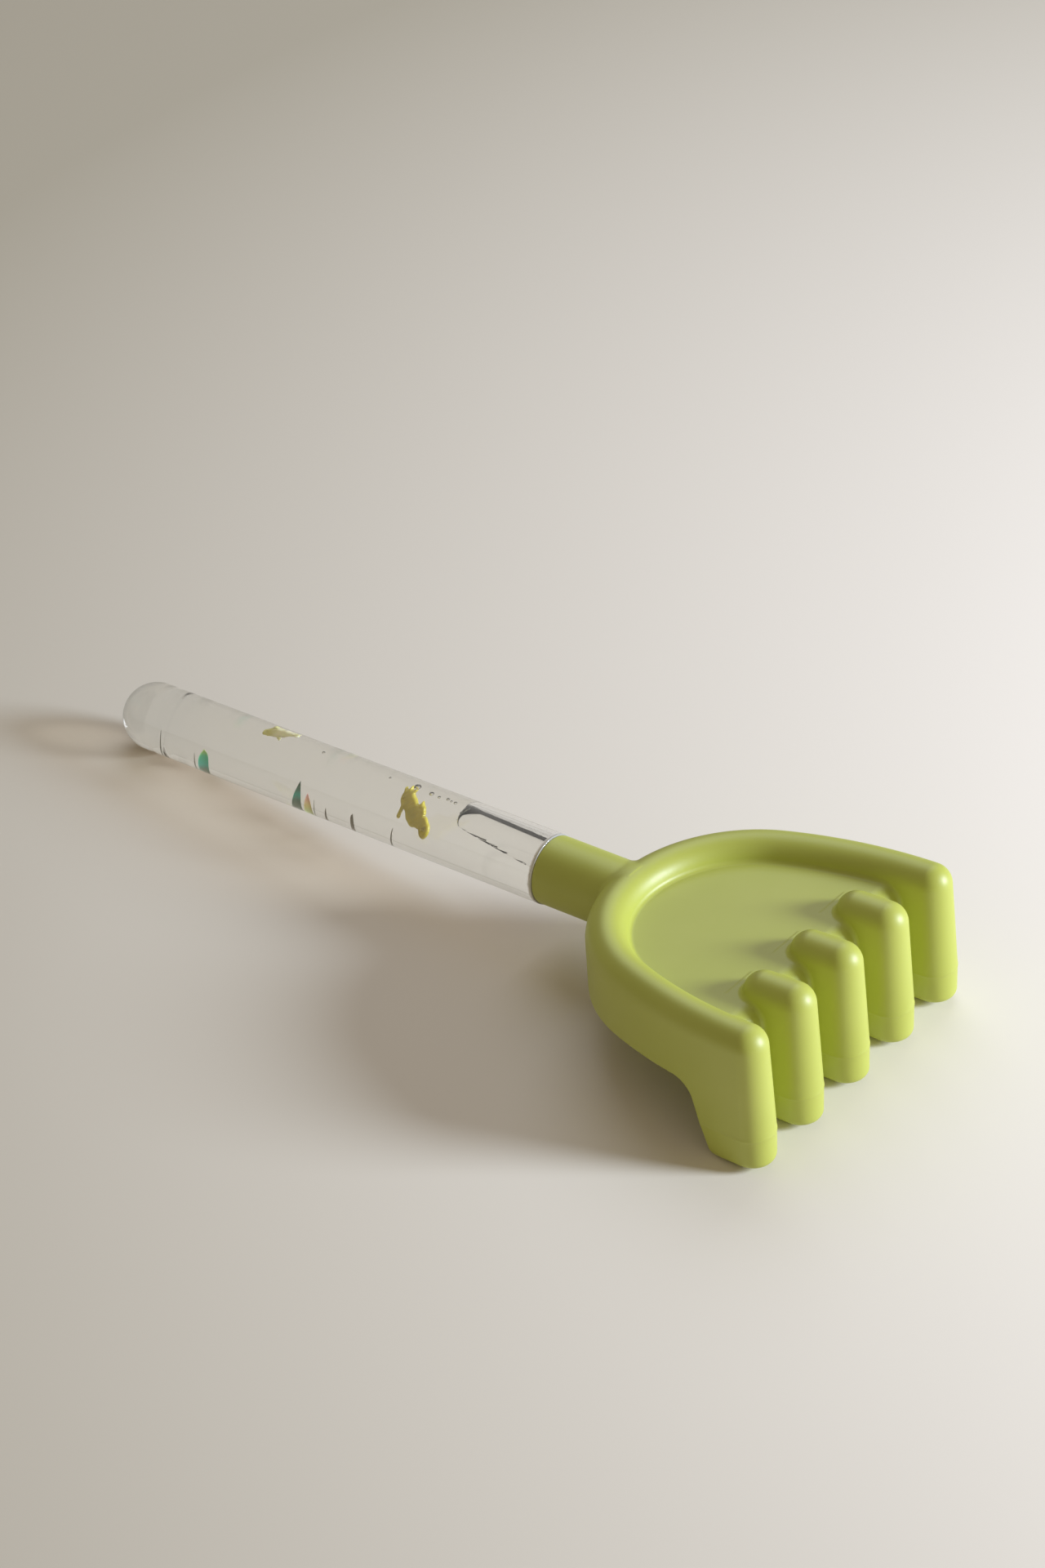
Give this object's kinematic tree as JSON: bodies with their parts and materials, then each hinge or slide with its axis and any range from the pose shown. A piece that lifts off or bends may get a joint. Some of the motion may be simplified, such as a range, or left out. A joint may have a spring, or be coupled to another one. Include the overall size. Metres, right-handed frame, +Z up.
{
  "type": "sand rake",
  "caption": "Children's sand rake: round-backed tray with thick front tines on a clear liquid-filled tube handle with floating charms.",
  "frame": {"origin": "middle of the object's extent in X and Y, at the ground it rests on", "axes": "+X towards the tines, +Y to the rake's left seen from the handle, +Z up; it rests on the heels of its tines and the end of its handle"},
  "size_m": [0.2822, 0.1052, 0.0458],
  "materials": {
    "green_plastic": "satin yellow-green moulded plastic",
    "clear_plastic": "clear polished plastic",
    "clear_liquid": "clear liquid",
    "ochre_plastic": "opaque ochre",
    "lime_plastic": "milky lime",
    "foil_teal": "iridescent foil, teal from this side",
    "foil_pink": "iridescent foil, pink to yellow",
    "foil_dark": "iridescent foil seen edge-on"
  },
  "bodies": {
    "rake": {"rake_head": "green_plastic", "handle_tube": "clear_plastic", "end_cap": "clear_plastic", "tube_plug": "clear_plastic", "liquid": "clear_liquid"},
    "seahorse": {"seahorse": "ochre_plastic"},
    "fish": {"fish": "lime_plastic"},
    "sequin_1": {"sequin_1": "foil_dark"},
    "sequin_2": {"sequin_2": "foil_dark"},
    "sequin_3": {"sequin_3": "foil_teal"},
    "sequin_4": {"sequin_4": "foil_teal"},
    "sequin_5": {"sequin_5": "foil_pink"},
    "sequin_6": {"sequin_6": "foil_dark"},
    "sequin_7": {"sequin_7": "foil_dark"},
    "sequin_8": {"sequin_8": "foil_dark"},
    "sequin_9": {"sequin_9": "foil_dark"}
  },
  "joints": [
    {"name": "seahorse_drift", "type": "slide", "parent": "rake", "child": "seahorse", "axis": [-0.9965, 0, -0.0841], "range_m": [-0.003, 0.022], "deforming": ["liquid"]},
    {"name": "fish_drift", "type": "slide", "parent": "rake", "child": "fish", "axis": [-0.9965, 0, -0.0841], "range_m": [-0.016, 0.026], "deforming": ["liquid"]},
    {"name": "sequin_1_drift", "type": "slide", "parent": "rake", "child": "sequin_1", "axis": [-0.9965, 0, -0.0841], "range_m": [-0.0005, 0.0011], "deforming": ["liquid"]},
    {"name": "sequin_2_drift", "type": "slide", "parent": "rake", "child": "sequin_2", "axis": [-0.9965, 0, -0.0841], "range_m": [-0.0006, 0.0076], "deforming": ["liquid"]},
    {"name": "sequin_3_drift", "type": "slide", "parent": "rake", "child": "sequin_3", "axis": [-0.9965, 0, -0.0841], "range_m": [-0.01, 0.0006], "deforming": ["liquid"]},
    {"name": "sequin_4_drift", "type": "slide", "parent": "rake", "child": "sequin_4", "axis": [-0.9965, 0, -0.0841], "range_m": [-0.0017, 0.01], "deforming": ["liquid"]},
    {"name": "sequin_5_drift", "type": "slide", "parent": "rake", "child": "sequin_5", "axis": [-0.9965, 0, -0.0841], "range_m": [0, 0.0017], "deforming": ["liquid"]},
    {"name": "sequin_6_drift", "type": "slide", "parent": "rake", "child": "sequin_6", "axis": [-0.9965, 0, -0.0841], "range_m": [-0.0016, 0], "deforming": ["liquid"]},
    {"name": "sequin_7_drift", "type": "slide", "parent": "rake", "child": "sequin_7", "axis": [-0.9965, 0, -0.0841], "range_m": [-0.0042, 0.0016], "deforming": ["liquid"]},
    {"name": "sequin_8_drift", "type": "slide", "parent": "rake", "child": "sequin_8", "axis": [-0.9965, 0, -0.0841], "range_m": [-0.0062, 0.0042], "deforming": ["liquid"]},
    {"name": "sequin_9_drift", "type": "slide", "parent": "rake", "child": "sequin_9", "axis": [-0.9965, 0, -0.0841], "range_m": [-0.0048, 0.0062], "deforming": ["liquid"]}
  ]
}
